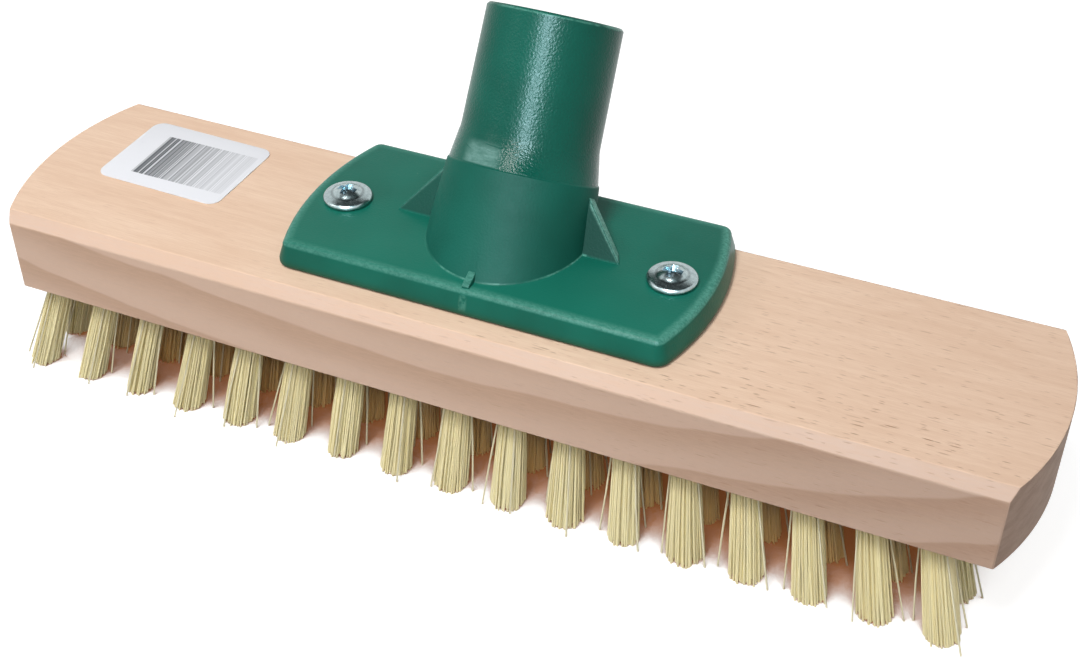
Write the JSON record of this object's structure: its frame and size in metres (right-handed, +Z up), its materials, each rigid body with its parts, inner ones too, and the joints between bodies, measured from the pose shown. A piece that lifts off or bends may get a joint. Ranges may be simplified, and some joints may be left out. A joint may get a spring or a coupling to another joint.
{
  "type": "deck brush head",
  "caption": "Scrubbing brush head: a long beech block with fanned bristle tufts under it and a plastic handle socket, leaning back, screwed on top.",
  "frame": {"origin": "on the floor, at the cut end of the middle tuft, which is 3.7 mm left of the block's middle", "axes": "+Z up, +X along the block, away from the sticker; the handle socket leans back towards +Y"},
  "size_m": [0.25, 0.0736, 0.1011],
  "materials": {
    "beech": "plain sanded beech, unvarnished, with short brown flecks",
    "green_plastic": "moulded, semi-gloss, finely spark-eroded",
    "zinc_steel": "bright zinc plate",
    "label_paper": "white coated sticker with plain grey bars",
    "fibre": "stiff straight pale yellow filament, cut level"
  },
  "bodies": {
    "root": {"beech_block": "beech", "handle_socket": "green_plastic", "screw_left": "zinc_steel", "screw_right": "zinc_steel", "label": "label_paper", "tufts_01": "fibre", "tufts_02": "fibre", "tufts_03": "fibre", "tufts_04": "fibre", "tufts_05": "fibre", "tufts_06": "fibre", "tufts_07": "fibre", "tufts_08": "fibre", "tufts_09": "fibre", "tufts_10": "fibre", "tufts_11": "fibre", "tufts_12": "fibre", "tufts_13": "fibre", "tufts_14": "fibre", "tufts_15": "fibre", "tufts_16": "fibre", "tufts_17": "fibre"}
  },
  "joints": []
}
